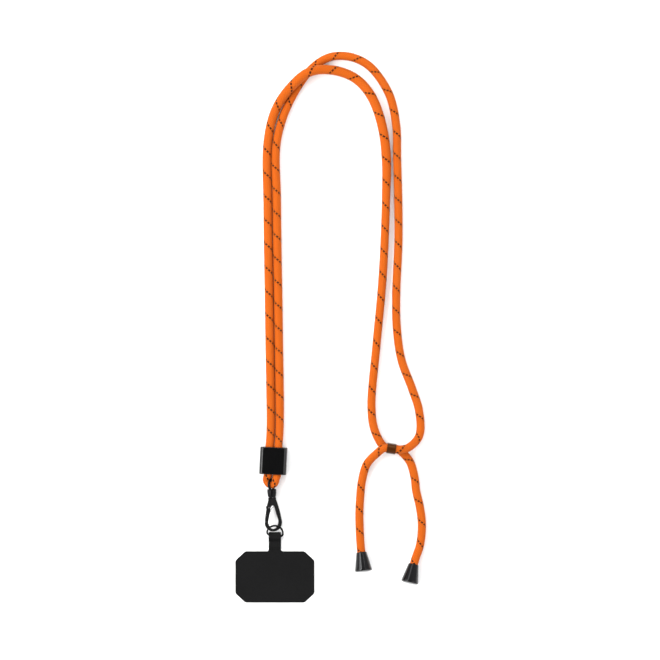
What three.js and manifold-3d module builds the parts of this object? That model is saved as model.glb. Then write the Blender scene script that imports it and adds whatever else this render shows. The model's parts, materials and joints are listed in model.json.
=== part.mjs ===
// Adjustable phone lanyard: a 6 mm round braided rope with a clamped hook loop, a slider band and two bell
// ends, a swivel snap hook, a D-ring and a flat tether patch that goes between a phone and its case.
// Millimetres, +Z up. The lanyard lies on the plane z = 0, with the origin under the middle of the patch,
// +Y towards the neck loop and +X towards the slider's side.
import * as THREE from 'three';
import { mergeVertices } from 'three/addons/utils/BufferGeometryUtils.js';
import Module from 'manifold-3d';

const wasm = await Module();
wasm.setup();

// Clearances
const GAP = 0.3; // between faces that meet
const RUNNING = 0.05; // on a pin in its hole, all round

// Rope
const ROPE_R = 3.2;
const ROPE_SQUEEZED_R = 2.7; // where it is pulled tight round the swivel's eye
const ROPE_SIDES = 10;
const FLOOR_Z = ROPE_R + 0.15; // centreline of a strand that lies on the surface
const STRAND_PITCH = 6.6; // between the two parallel strands of the pair

// Clamp that pinches the pair above the hook
const CLAMP_CENTRE = new THREE.Vector3(-1.1, 88.5, 4.85);
const CLAMP_TURN = THREE.MathUtils.degToRad(-2.7);
const CLAMP_WIDTH = 20.6;
const CLAMP_LENGTH = 20.7;
const CLAMP_HEIGHT = 9.4;
const CLAMP_FILLET = 2.8;
const CLAMP_GROOVE_R = 3.75;
const CLAMP_TOOTH_R = ROPE_R + 0.25;
const CLAMP_TOOTH_WIDTH = 0.9;
const CLAMP_TEETH = 3;
const PEG_R = 1.0;
const PEG_HEIGHT = 1.6;
const PEG_OFFSET = 8.5;
const PEG_SPACING = 12;
const TOOTH_INSET = 1; // of the first and last tooth's share of the length
const TOOTH_END = 0.6; // radians left bare between a tooth and the parting line

// Swivel eye: a round wire ring that the rope passes through, and its collar
const CROWN = new THREE.Vector3(-2.7, 74.2, 4.95); // where the ring's wire lies inside the rope's bend
const BEND_CENTRE = new THREE.Vector3(-1.05, 41.7, 4.8); // centre of the hook's round bottom
const EYE_WIRE_R = 0.9;
const EYE_R = EYE_WIRE_R + GAP + ROPE_SQUEEZED_R; // of the ring's centreline
const ROPE_BEND_R = EYE_R + 0.25; // of the rope's centreline, round the crown
const EYE_TWIST = THREE.MathUtils.degToRad(30); // right strand above the left one
const COLLAR_LENGTH = 6.0;
const COLLAR_TOP_R = 3.45;
const COLLAR_BASE_R = 3.05;
const COLLAR_TOP = ROPE_BEND_R + ROPE_SQUEEZED_R + GAP; // distances down the axis from the crown
const NECK_TOP = COLLAR_TOP + COLLAR_LENGTH + GAP;
const COLLAR_EDGE = 0.4; // chamfer
const RIVET_HEAD_R = 1.8;
const RIVET_HEAD_LENGTH = 1.2;
const RIVET_R = 1.0;
const RIVET_GRIP = 3.4;

// Hook body, drawn in its own plane: u across, v up along the axis, with (0, 0) at the bend's centre
const AXIS_LENGTH = CROWN.distanceTo(BEND_CENTRE);
const HOOK_SPIN = THREE.MathUtils.degToRad(31); // left arm up
const HOOK_THICKNESS = 2.2;
const HOOK_BEVEL = 0.4;
const HOOK_HALF = 7.3;
const HOOK_DEPTH = 6.9; // from the centre to the round bottom's outer edge
const NECK_HALF = 3.2;
const NECK_V = AXIS_LENGTH - NECK_TOP;
const SHOULDER_V = NECK_V - 2;
const ARM_BULGE = new THREE.Vector2(6.1, 9.5); // control point of each arm's outer edge
const HOLE_APEX_V = 13;
const HOLE_SHOULDER = new THREE.Vector2(1.7, 11.6);
const HOLE_HALF = 4.7;
const HOLE_WAIST_V = 1;
const HOLE_DEPTH = 5.9;

// Gate: the left arm between the pivot and the nose
const PIVOT = new THREE.Vector2(-3.75, 11.6);
const KNUCKLE_R = 1.6;
const KNUCKLE_DROP = 1; // from the pivot to where the gate's full thickness ends
const PIN_R = 0.5;
const TONGUE_R = 1.3;
const TONGUE_THICKNESS = 1.0;
const TONGUE_OUTLINE = [[-0.9, 0], [0.9, 0], [2, 3.2], [0.5, 3.2]]; // from the pivot up into the neck
const NOSE_V = 0.95;
const LATCH_WIDTH = 0.95;
const LATCH_LENGTH = 1.4;
const CUT_PAST = 2; // how far a cutting shape goes beyond what it cuts
const SPRING_WIRE_R = 0.2;
const SPRING_POINTS = [[1.1, 11.8], [-0.4, 11.1], [-1.6, 9.5], [-2.4, 7.6]]; // body's end first

// D-ring, drawn from the middle of its bar
const BAR_CENTRE = new THREE.Vector3(-0.15, 31.4, 1.9);
const RING_TURN = THREE.MathUtils.degToRad(-8);
const RING_PITCH = THREE.MathUtils.degToRad(22);
const RING_WIRE_R = 0.72;
const RING_R = 6.05;
const RING_CORNER_R = 2.4;

// Tether patch
const PATCH_WIDTH = 60;
const PATCH_LENGTH = 39;
const PATCH_CHAMFER_X = 7.6;
const PATCH_CHAMFER_Y = 7;
const PATCH_THICKNESS = 0.8;
const TAB_WIDTH = 9.4;
const TAB_ROOT_R = 0.9;
const POCKET_R = 1.2; // inside, on each side of the D-ring's bar
const POCKET_LENGTH = 1.9; // between the centres of its two round ends
const POCKET_CREST = 34.2; // the fold's outer edge
const TAB_RISE = 1.5; // straight sides of the tab that belong to the card
const FLAP_START = 3.4; // the folded-over end, measured from the card's edge
const FLAP_SKIVE = 2.2; // length over which that end is thinned down
const FLAP_SWEEP = 4; // length over which it comes down from the pocket

// Slider band: a flat sleeve on two strands, one on top of the other
const BAND_CENTRE = new THREE.Vector3(88.3, 97.9, 7.4);
const BAND_TURN = THREE.MathUtils.degToRad(-8.5);
const BAND_LENGTH = 6.8;
const BAND_BORE_R = 3.42;
const BAND_WALL = 0.5;
const BAND_PITCH = 6.6;

// Bell-shaped rope ends, drawn along their axis from the narrow end
const BELL_LENGTH = 14.4;
const BELL_NARROW_R = 3.85;
const BELL_WIDE_R = 6.5;
const BELL_RIM = 1.1; // height of the rounded rim, three quarters of it across
const BELL_EDGE = 0.3;
const BELL_MOUTH_R = ROPE_R + 0.25;
const BELL_MOUTH_LENGTH = 3;
const BELL_INNER_R = 5.4;
const LID_THICKNESS = 1.5;
const LID_DOME = 0.5;
const KNOT_R = 4;
const KNOT_HALF_LENGTH = 2.6;
const KNOT_CENTRE = 9.6;
const BELLS = {
  left: { mouth: new THREE.Vector3(65.7, 19.0, 4), heading: THREE.MathUtils.degToRad(-83.3) },
  right: { mouth: new THREE.Vector3(105.3, 9.9, 4), heading: THREE.MathUtils.degToRad(-103) },
};
const BELL_TILT = Math.atan2(BELL_WIDE_R - BELL_NARROW_R, BELL_LENGTH); // lying on its side

// Rope route: centreline points, one list for each stretch
const BAND_LOW_Z = BAND_CENTRE.z - BAND_PITCH / 2;
const BAND_HIGH_Z = BAND_CENTRE.z + BAND_PITCH / 2;
const TAIL_RIGHT = [
  [88.45, 97.88, BAND_LOW_Z], [90.9, 97.51, BAND_LOW_Z], [94, 96.8, 4], [102.2, 88.2, FLOOR_Z],
  [106, 76, FLOOR_Z], [107.2, 66, FLOOR_Z], [110.1, 53, FLOOR_Z], [111.6, 40, FLOOR_Z],
  [110.3, 25, FLOOR_Z], [106.6, 13.7, 3.6], [103.8, 3.5, 5.2],
];
const TAIL_LEFT = [
  [88.15, 97.92, BAND_HIGH_Z], [85.7, 98.29, BAND_HIGH_Z], [82.5, 98.2, BAND_HIGH_Z], [77.6, 94.5, 8.6],
  [69.9, 86, 4.6], [66.3, 74, FLOOR_Z], [64.8, 61, FLOOR_Z], [64.2, 46, FLOOR_Z], [65.24, 22.9, 3.6],
  [66.47, 12.5, 5.2],
];
const RUN_INNER = [
  [88.15, 97.92, BAND_LOW_Z], [85.7, 98.29, BAND_LOW_Z], [82.5, 99.4, BAND_LOW_Z], [75.8, 111.5, FLOOR_Z],
  [73.35, 129, FLOOR_Z], [77.05, 175, FLOOR_Z], [81.1, 218, FLOOR_Z], [82.95, 247, FLOOR_Z],
  [84.45, 290, FLOOR_Z], [84.6, 318, 3.5], [81.3, 343, 3.75], [72.8, 365.6, 3.75], [60.8, 378.6, 3.9],
  [43, 384.6, 6.4], [26, 382.5, 10.3], [12, 371.1, 9], [0.8, 354.8, 4.8], [-5.2, 331, FLOOR_Z],
  [-5.3, 280, FLOOR_Z], [-4, 190, FLOOR_Z], [-3.1, 113, 3.6], [-3.9, 98.9, CLAMP_CENTRE.z],
  [-4.4, 88.9, CLAMP_CENTRE.z],
];
const RUN_OUTER = [
  [2.2, 88.6, CLAMP_CENTRE.z], [2.68, 98.7, CLAMP_CENTRE.z], [3.6, 113, 3.6], [2.85, 190, FLOOR_Z],
  [1.45, 285, FLOOR_Z], [1.6, 331, FLOOR_Z], [12, 362.4, FLOOR_Z], [28.2, 386.1, FLOOR_Z],
  [40.8, 394.3, FLOOR_Z], [53, 395.5, FLOOR_Z], [64, 392.6, FLOOR_Z], [74, 385.7, FLOOR_Z],
  [86.8, 366.3, FLOOR_Z], [92.1, 343, FLOOR_Z], [92.8, 318, FLOOR_Z], [93.7, 285, FLOOR_Z],
  [93.8, 255, FLOOR_Z], [92.1, 212, FLOOR_Z], [92.7, 188, FLOOR_Z], [96.1, 165, FLOOR_Z],
  [104.2, 143, FLOOR_Z], [109.5, 126, FLOOR_Z], [109.6, 107.6, 4.5], [101, 98.5, 8.9],
  [94.1, 97.2, BAND_HIGH_Z], [90.9, 97.51, BAND_HIGH_Z], [88.45, 97.88, BAND_HIGH_Z],
];

const MATERIALS = {
  rope: new THREE.MeshStandardMaterial({ color: 0xf0701e, roughness: 0.85, metalness: 0 }),
  band: new THREE.MeshStandardMaterial({ color: 0x1d1512, roughness: 0.3, metalness: 0 }),
  bell: new THREE.MeshStandardMaterial({ color: 0x0c0c0d, roughness: 0.15, metalness: 0 }),
  clamp: new THREE.MeshStandardMaterial({ color: 0x101011, roughness: 0.25, metalness: 0 }),
  hook: new THREE.MeshStandardMaterial({ color: 0x18181a, roughness: 0.35, metalness: 0.6 }),
  steel: new THREE.MeshStandardMaterial({ color: 0xa8a8aa, roughness: 0.3, metalness: 1 }),
  patch: new THREE.MeshStandardMaterial({ color: 0x242424, roughness: 0.9, metalness: 0 }),
};

// Helpers

function mesh(name, geometry, material) {
  const result = new THREE.Mesh(geometry, material);
  result.name = name;
  return result;
}

// A closed three.js geometry as a manifold solid, and back.
function solid(geometry) {
  const bare = geometry.clone();
  bare.deleteAttribute('normal');
  bare.deleteAttribute('uv');
  const merged = mergeVertices(bare, 1e-4);
  return new wasm.Manifold(new wasm.Mesh({
    numProp: 3,
    vertProperties: new Float32Array(merged.attributes.position.array),
    triVerts: new Uint32Array(merged.index.array),
  }));
}

function geometryOf(manifold) {
  const { vertProperties, triVerts } = manifold.getMesh();
  const geometry = new THREE.BufferGeometry();
  geometry.setAttribute('position', new THREE.BufferAttribute(new Float32Array(vertProperties), 3));
  geometry.setIndex(new THREE.BufferAttribute(new Uint32Array(triVerts), 1));
  geometry.computeVertexNormals();
  return geometry;
}

// A spline through hand-placed points, sampled the same number of times between each pair of them.
class Route extends THREE.CatmullRomCurve3 {
  getPointAt(t, target) {
    return this.getPoint(t, target);
  }

  getTangentAt(t, target) {
    return this.getTangent(t, target);
  }
}

function polygon(radius, sides) {
  const shape = new THREE.Shape();
  for (let i = 0; i < sides; i += 1) {
    const angle = (2 * Math.PI * i) / sides;
    shape.lineTo(radius * Math.cos(angle), radius * Math.sin(angle));
  }
  return shape;
}

function tube(points, radius, sides, stepsEach) {
  const route = new Route(points, false, 'centripetal');
  const steps = (points.length - 1) * stepsEach;
  return new THREE.ExtrudeGeometry(polygon(radius, sides), { extrudePath: route, steps });
}

// A solid of revolution about +Y, from a closed profile of [radius, y] points.
function lathe(profile, segments) {
  const points = profile.map(([radius, y]) => new THREE.Vector2(radius, y));
  return new THREE.LatheGeometry([...points, points[0].clone()], segments);
}

// A cylinder whose axis is +Z, centred on (x, y, z).
function post(radius, length, x, y, z, sides = 20) {
  return new THREE.CylinderGeometry(radius, radius, length, sides).rotateX(Math.PI / 2).translate(x, y, z);
}

// A cylinder whose axis is +Y, from one height to another.
function rod(radius, low, high, sides = 20) {
  return new THREE.CylinderGeometry(radius, radius, high - low, sides).translate(0, (low + high) / 2, 0);
}

// A straight extrusion of the given outline along Z, centred on z = 0.
function prism(shape, depth, curveSegments) {
  const geometry = new THREE.ExtrudeGeometry(shape, { depth, bevelEnabled: false, curveSegments });
  return geometry.translate(0, 0, -depth / 2);
}

// The same, for an outline drawn in the plane of Y and Z and extruded along X.
function crossPrism(shape, depth, curveSegments) {
  const y = new THREE.Vector3(0, 1, 0);
  const z = new THREE.Vector3(0, 0, 1);
  const x = new THREE.Vector3(1, 0, 0);
  return prism(shape, depth, curveSegments).applyMatrix4(new THREE.Matrix4().makeBasis(y, z, x));
}

// A flat plate of the given outline, centred on z = 0, with rounded edges.
function plate(shape, thickness, bevel) {
  const geometry = new THREE.ExtrudeGeometry(shape, {
    depth: thickness - 2 * bevel,
    bevelThickness: bevel,
    bevelSize: bevel,
    bevelOffset: -bevel,
    bevelSegments: 2,
    curveSegments: 10,
  });
  return geometry.translate(0, 0, bevel - thickness / 2);
}

// Rope

function ropeStretch(name, list) {
  const points = list.map(([x, y, z]) => new THREE.Vector3(x, y, z));
  return mesh(name, tube(points, ROPE_R, ROPE_SIDES, 2), MATERIALS.rope);
}

// Unit vectors of the swivel's axis: up it, across the rope's bend and along the crown's wire.
function swivelBasis(twist) {
  const up = CROWN.clone().sub(BEND_CENTRE).normalize();
  const level = new THREE.Vector3(1, 0, 0).addScaledVector(up, -up.x).normalize();
  const across = level.applyAxisAngle(up, twist);
  const normal = across.clone().cross(up);
  return { across, up, normal };
}

function hookLoop() {
  const { across, up } = swivelBasis(-EYE_TWIST);
  const clampAxis = new THREE.Vector3(0, 1, 0).applyAxisAngle(new THREE.Vector3(0, 0, 1), CLAMP_TURN);
  const clampSide = new THREE.Vector3(1, 0, 0).applyAxisAngle(new THREE.Vector3(0, 0, 1), CLAMP_TURN);
  const inClamp = (side, along) => CLAMP_CENTRE.clone()
    .addScaledVector(clampSide, (side * STRAND_PITCH) / 2)
    .addScaledVector(clampAxis, along);
  const mouth = GAP - CLAMP_LENGTH / 2;
  const points = [inClamp(-1, 0), inClamp(-1, mouth / 2), inClamp(-1, mouth)];
  const bends = 8;
  for (let i = 0; i <= bends; i += 1) {
    const angle = (Math.PI * i) / bends;
    points.push(CROWN.clone()
      .addScaledVector(across, -ROPE_BEND_R * Math.cos(angle))
      .addScaledVector(up, -ROPE_BEND_R * Math.sin(angle)));
  }
  points.push(inClamp(1, mouth), inClamp(1, mouth / 2), inClamp(1, 0));
  return mesh('rope_hook_loop', tube(points, ROPE_SQUEEZED_R, 12, 2), MATERIALS.rope);
}

// Clamp

// Half of the clamp's section, below its parting line, with a half-round groove for each strand.
function clampSection() {
  const half = CLAMP_WIDTH / 2;
  const depth = CLAMP_HEIGHT / 2;
  const parting = -GAP / 2;
  const grooveHalf = Math.sqrt(CLAMP_GROOVE_R ** 2 - parting ** 2);
  const start = Math.PI + Math.asin(-parting / CLAMP_GROOVE_R);
  const middle = Math.acos(STRAND_PITCH / 2 / CLAMP_GROOVE_R);
  const shape = new THREE.Shape();
  shape.moveTo(-half, parting);
  shape.lineTo(-half, CLAMP_FILLET - depth);
  shape.absarc(CLAMP_FILLET - half, CLAMP_FILLET - depth, CLAMP_FILLET, Math.PI, 1.5 * Math.PI);
  shape.lineTo(half - CLAMP_FILLET, -depth);
  shape.absarc(half - CLAMP_FILLET, CLAMP_FILLET - depth, CLAMP_FILLET, -Math.PI / 2, 0);
  shape.lineTo(half, parting);
  shape.lineTo(STRAND_PITCH / 2 + grooveHalf, parting);
  shape.absarc(STRAND_PITCH / 2, 0, CLAMP_GROOVE_R, Math.PI - start, -Math.PI + middle, true);
  shape.absarc(-STRAND_PITCH / 2, 0, CLAMP_GROOVE_R, -middle, start, true);
  return shape;
}

// A gripping rib: half of a ring, set into the groove's wall.
function clampTooth(x, y) {
  const shape = new THREE.Shape();
  shape.absarc(0, 0, CLAMP_GROOVE_R + GAP, Math.PI + TOOTH_END, 2 * Math.PI - TOOTH_END, false);
  shape.absarc(0, 0, CLAMP_TOOTH_R, -TOOTH_END, TOOTH_END - Math.PI, true);
  return prism(shape, CLAMP_TOOTH_WIDTH, 8).rotateX(Math.PI / 2).translate(x, y, 0);
}

function clampShell(name, upper) {
  let body = solid(prism(clampSection(), CLAMP_LENGTH, 8).rotateX(Math.PI / 2));
  for (let i = 0; i < CLAMP_TEETH; i += 1) {
    const y = ((i + 0.5) / CLAMP_TEETH - 0.5) * (CLAMP_LENGTH - 2 * TOOTH_INSET);
    for (const x of [-STRAND_PITCH / 2, STRAND_PITCH / 2]) {
      body = body.add(solid(clampTooth(x, y)));
    }
  }
  for (const x of [-PEG_OFFSET, PEG_OFFSET]) {
    for (const y of [-PEG_SPACING / 2, PEG_SPACING / 2]) {
      const peg = solid(post(PEG_R, PEG_HEIGHT, x, y, 0));
      const hole = solid(post(PEG_R + RUNNING, 2 * PEG_HEIGHT, x, y, 0));
      body = upper ? body.subtract(hole) : body.add(peg);
    }
  }
  const shell = mesh(name, geometryOf(body), MATERIALS.clamp);
  if (upper) {
    shell.rotation.y = Math.PI;
  }
  return shell;
}

function clamp() {
  const group = new THREE.Group();
  group.add(clampShell('clamp_rear_shell', false));
  group.add(clampShell('clamp_front_shell', true));
  group.position.copy(CLAMP_CENTRE);
  group.rotation.z = CLAMP_TURN;
  return group;
}

// Swivel: the eye's frame has +Y up the axis, +Z along the crown's wire and its origin at the crown.

function swivelEye() {
  const ring = new THREE.TorusGeometry(EYE_R, EYE_WIRE_R, 12, 32).rotateY(Math.PI / 2).translate(0, -EYE_R, 0);
  const base = -COLLAR_TOP - COLLAR_LENGTH;
  const collar = lathe([
    [0, base], [COLLAR_BASE_R - COLLAR_EDGE, base], [COLLAR_BASE_R, base + COLLAR_EDGE],
    [COLLAR_TOP_R, -COLLAR_TOP - COLLAR_LENGTH / 2], [COLLAR_TOP_R, -COLLAR_TOP - COLLAR_EDGE],
    [COLLAR_TOP_R - COLLAR_EDGE, -COLLAR_TOP], [0, -COLLAR_TOP],
  ], 24);
  const seat = RIVET_HEAD_LENGTH + 2 * GAP;
  const cavity = rod(RIVET_HEAD_R + GAP, -COLLAR_TOP - seat, -COLLAR_TOP + seat);
  const bore = rod(RIVET_R + GAP, base - GAP, -COLLAR_TOP - seat + GAP);
  const body = solid(ring).add(solid(collar)).subtract(solid(cavity)).subtract(solid(bore));
  return mesh('swivel_eye', geometryOf(body), MATERIALS.hook);
}

function swivelRivet() {
  const top = -COLLAR_TOP - GAP;
  const tip = -NECK_TOP - RIVET_GRIP;
  const profile = [
    [0, tip], [RIVET_R, tip], [RIVET_R, top - RIVET_HEAD_LENGTH], [RIVET_HEAD_R, top - RIVET_HEAD_LENGTH],
    [RIVET_HEAD_R, top - COLLAR_EDGE], [RIVET_HEAD_R - COLLAR_EDGE, top], [0, top],
  ];
  return mesh('swivel_rivet', lathe(profile, 20), MATERIALS.steel);
}

function swivel() {
  const { across, up, normal } = swivelBasis(-EYE_TWIST);
  const group = new THREE.Group();
  group.add(swivelEye(), swivelRivet());
  group.position.copy(CROWN);
  group.quaternion.setFromRotationMatrix(new THREE.Matrix4().makeBasis(across, up, normal));
  return group;
}

// Hook: the frame has +X across the hook, +Y up the axis and its origin at the bend's centre.

function hookOutline() {
  const shape = new THREE.Shape();
  shape.moveTo(-NECK_HALF, NECK_V);
  shape.lineTo(-NECK_HALF, SHOULDER_V);
  shape.quadraticCurveTo(-ARM_BULGE.x, ARM_BULGE.y, -HOOK_HALF, 0);
  shape.absellipse(0, 0, HOOK_HALF, HOOK_DEPTH, Math.PI, 2 * Math.PI, false);
  shape.quadraticCurveTo(ARM_BULGE.x, ARM_BULGE.y, NECK_HALF, SHOULDER_V);
  shape.lineTo(NECK_HALF, NECK_V);
  const hole = new THREE.Path();
  hole.moveTo(-HOLE_SHOULDER.x, HOLE_SHOULDER.y);
  hole.quadraticCurveTo(0, 2 * HOLE_APEX_V - HOLE_SHOULDER.y, HOLE_SHOULDER.x, HOLE_SHOULDER.y);
  hole.lineTo(HOLE_HALF, HOLE_WAIST_V);
  hole.absellipse(0, HOLE_WAIST_V, HOLE_HALF, HOLE_DEPTH, 0, -Math.PI, true);
  hole.lineTo(-HOLE_SHOULDER.x, HOLE_SHOULDER.y);
  shape.holes.push(hole);
  return shape;
}

// The gate's share of the left arm: below the pivot and above the nose, widened to cut well past the edges.
function gateRegion(lowV, latchV, topV, margin) {
  const shape = new THREE.Shape();
  const far = HOOK_HALF + CUT_PAST;
  const latchEdge = -HOLE_HALF - LATCH_WIDTH - margin;
  shape.moveTo(-far, lowV);
  shape.lineTo(latchEdge, lowV);
  shape.lineTo(latchEdge, latchV);
  shape.lineTo(-HOLE_HALF + CUT_PAST, latchV);
  shape.lineTo(0, topV);
  shape.lineTo(-far, topV);
  return solid(prism(shape, 2 * HOOK_THICKNESS));
}

function atPivot(radius, length) {
  return solid(post(radius, length, PIVOT.x, PIVOT.y, 0, 24));
}

function hookBody() {
  const whole = solid(plate(hookOutline(), HOOK_THICKNESS, HOOK_BEVEL));
  const tongue = new THREE.Shape(TONGUE_OUTLINE.map(([u, v]) => new THREE.Vector2(u, v).add(PIVOT)));
  const rivetHole = rod(RIVET_R + RUNNING, NECK_V - RIVET_GRIP - GAP, NECK_V + GAP);
  const body = whole
    .subtract(gateRegion(NOSE_V, NOSE_V - LATCH_LENGTH - GAP, PIVOT.y, GAP))
    .subtract(atPivot(KNUCKLE_R + GAP, 2 * HOOK_THICKNESS))
    .add(atPivot(TONGUE_R, TONGUE_THICKNESS))
    .add(solid(prism(tongue, TONGUE_THICKNESS)))
    .subtract(atPivot(PIN_R + RUNNING, 2 * HOOK_THICKNESS))
    .subtract(solid(rivetHole.rotateY(-HOOK_SPIN - EYE_TWIST)));
  return mesh('hook_body', geometryOf(body), MATERIALS.hook);
}

function hookGate() {
  const whole = solid(plate(hookOutline(), HOOK_THICKNESS, HOOK_BEVEL));
  const body = whole
    .intersect(gateRegion(NOSE_V + GAP, NOSE_V - LATCH_LENGTH, PIVOT.y - KNUCKLE_DROP, 0))
    .add(atPivot(KNUCKLE_R, HOOK_THICKNESS))
    .subtract(atPivot(KNUCKLE_R + GAP, TONGUE_THICKNESS + 2 * GAP))
    .subtract(atPivot(PIN_R + RUNNING, 2 * HOOK_THICKNESS));
  return mesh('hook_gate', geometryOf(body), MATERIALS.hook);
}

function gatePin() {
  return mesh('gate_pin', post(PIN_R, HOOK_THICKNESS, PIVOT.x, PIVOT.y, 0, 24), MATERIALS.steel);
}

// A bent wire that rests on the body at the hole's apex and pushes the gate out against the nose.
function gateSpring() {
  const points = SPRING_POINTS.map(([u, v]) => new THREE.Vector3(u, v, 0));
  return mesh('gate_spring', tube(points, SPRING_WIRE_R, 8, 3), MATERIALS.steel);
}

function hook() {
  const { across, up, normal } = swivelBasis(HOOK_SPIN);
  const group = new THREE.Group();
  group.add(hookBody(), hookGate(), gatePin(), gateSpring());
  group.position.copy(BEND_CENTRE);
  group.quaternion.setFromRotationMatrix(new THREE.Matrix4().makeBasis(across, up, normal));
  return group;
}

// D-ring: bent from one wire, whose ends butt in the middle of the bar.
function dRing() {
  const points = [];
  const side = RING_R - RING_CORNER_R;
  const arc = (cx, cy, radius, from, to, steps) => {
    for (let i = 0; i <= steps; i += 1) {
      const angle = from + ((to - from) * i) / steps;
      points.push(new THREE.Vector3(cx + radius * Math.cos(angle), cy + radius * Math.sin(angle), 0));
    }
  };
  points.push(new THREE.Vector3(GAP / 2, 0, 0));
  arc(side, RING_CORNER_R, RING_CORNER_R, -Math.PI / 2, -Math.PI / 8, 4);
  arc(0, RING_CORNER_R, RING_R, 0, Math.PI, 16);
  arc(-side, RING_CORNER_R, RING_CORNER_R, 1.125 * Math.PI, 1.5 * Math.PI, 4);
  points.push(new THREE.Vector3(-GAP / 2, 0, 0));
  const ring = mesh('d_ring', tube(points, RING_WIRE_R, 10, 1), MATERIALS.hook);
  ring.rotation.set(RING_PITCH, 0, RING_TURN, 'ZYX');
  ring.position.copy(BAR_CENTRE);
  return ring;
}

// Patch: a flat card whose tab is folded round the D-ring's bar and bonded to itself.

function patchOutline() {
  const half = PATCH_WIDTH / 2;
  const low = -PATCH_LENGTH / 2;
  const high = PATCH_LENGTH / 2;
  const tab = TAB_WIDTH / 2;
  const shape = new THREE.Shape();
  shape.moveTo(PATCH_CHAMFER_X - half, low);
  shape.lineTo(half - PATCH_CHAMFER_X, low);
  shape.lineTo(half, low + PATCH_CHAMFER_Y);
  shape.lineTo(half, high - PATCH_CHAMFER_Y);
  shape.lineTo(half - PATCH_CHAMFER_X, high);
  shape.lineTo(tab + TAB_ROOT_R, high);
  shape.absarc(tab + TAB_ROOT_R, high + TAB_ROOT_R, TAB_ROOT_R, -Math.PI / 2, -Math.PI, true);
  shape.lineTo(tab, high + TAB_RISE);
  shape.lineTo(-tab, high + TAB_RISE);
  shape.absarc(-tab - TAB_ROOT_R, high + TAB_ROOT_R, TAB_ROOT_R, 0, -Math.PI / 2, true);
  shape.lineTo(PATCH_CHAMFER_X - half, high);
  shape.lineTo(-half, high - PATCH_CHAMFER_Y);
  shape.lineTo(-half, low + PATCH_CHAMFER_Y);
  return shape;
}

// The folded tab's side view: y along the patch, then z, with the pocket for the bar as a hole.
function tabProfile() {
  const outer = POCKET_R + PATCH_THICKNESS;
  const crest = POCKET_CREST - outer;
  const heel = crest - POCKET_LENGTH;
  const root = PATCH_LENGTH / 2;
  const doubled = 2 * PATCH_THICKNESS;
  const shape = new THREE.Shape();
  shape.moveTo(root, 0);
  shape.lineTo(crest, 0);
  shape.absarc(crest, outer, outer, -Math.PI / 2, Math.PI / 2, false);
  shape.lineTo(heel, 2 * outer);
  const sweep = heel - FLAP_SWEEP / 2;
  shape.bezierCurveTo(sweep, 2 * outer, sweep, doubled, heel - FLAP_SWEEP, doubled);
  shape.lineTo(root + FLAP_START, doubled);
  shape.lineTo(root + FLAP_START - FLAP_SKIVE, PATCH_THICKNESS);
  shape.lineTo(root, PATCH_THICKNESS);
  const pocket = new THREE.Path();
  pocket.absarc(crest, outer, POCKET_R, Math.PI / 2, -Math.PI / 2, true);
  pocket.absarc(heel, outer, POCKET_R, -Math.PI / 2, -1.5 * Math.PI, true);
  shape.holes.push(pocket);
  return shape;
}

function phonePatch() {
  const card = new THREE.ExtrudeGeometry(patchOutline(), {
    depth: PATCH_THICKNESS,
    bevelEnabled: false,
    curveSegments: 5,
  });
  const tab = crossPrism(tabProfile(), TAB_WIDTH, 8);
  return mesh('phone_patch', geometryOf(solid(card).add(solid(tab))), MATERIALS.patch);
}

// Slider band

function stadium(path, radius, clockwise) {
  const half = BAND_PITCH / 2;
  if (clockwise) {
    path.absarc(0, half, radius, Math.PI, 0, true);
    path.absarc(0, -half, radius, 0, -Math.PI, true);
  } else {
    path.absarc(0, half, radius, 0, Math.PI, false);
    path.absarc(0, -half, radius, Math.PI, 2 * Math.PI, false);
  }
  return path;
}

function sliderBand() {
  const shape = stadium(new THREE.Shape(), BAND_BORE_R + BAND_WALL, false);
  shape.holes.push(stadium(new THREE.Path(), BAND_BORE_R, true));
  const band = mesh('slider_band', crossPrism(shape, BAND_LENGTH, 12), MATERIALS.band);
  band.position.copy(BAND_CENTRE);
  band.rotation.z = BAND_TURN;
  return band;
}

// Bell ends: drawn about +Y, from the rope's side at y = 0 to the lid.

function bellShell(side) {
  const profile = [
    [BELL_MOUTH_R, 0], [BELL_NARROW_R - BELL_EDGE, 0], [BELL_NARROW_R, BELL_EDGE],
    [BELL_WIDE_R, BELL_LENGTH - BELL_RIM], [BELL_WIDE_R - BELL_EDGE, BELL_LENGTH - BELL_EDGE],
    [BELL_WIDE_R - 0.75 * BELL_RIM, BELL_LENGTH], [BELL_INNER_R, BELL_LENGTH],
    [BELL_INNER_R, BELL_LENGTH - 2 * LID_THICKNESS], [BELL_MOUTH_R, BELL_MOUTH_LENGTH],
  ];
  return mesh(`end_cap_${side}`, lathe(profile, 28), MATERIALS.bell);
}

function bellLid(side) {
  const low = BELL_LENGTH - LID_THICKNESS;
  const radius = BELL_INNER_R - RUNNING;
  const profile = [[0, low], [radius, low], [radius, BELL_LENGTH], [radius / 2, BELL_LENGTH + 0.8 * LID_DOME],
    [0, BELL_LENGTH + LID_DOME]];
  return mesh(`end_cap_lid_${side}`, lathe(profile, 28), MATERIALS.bell);
}

function ropeKnot(side) {
  const profile = [];
  const steps = 6;
  for (let i = 0; i <= steps; i += 1) {
    const angle = Math.PI * (i / steps - 0.5);
    profile.push([KNOT_R * Math.cos(angle), KNOT_CENTRE + KNOT_HALF_LENGTH * Math.sin(angle)]);
  }
  return mesh(`rope_knot_${side}`, lathe(profile, 16), MATERIALS.rope);
}

function bell(side) {
  const { mouth, heading } = BELLS[side];
  const group = new THREE.Group();
  group.add(bellShell(side), bellLid(side), ropeKnot(side));
  group.position.copy(mouth);
  group.rotation.set(BELL_TILT, 0, heading - Math.PI / 2, 'ZYX');
  return group;
}

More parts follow.
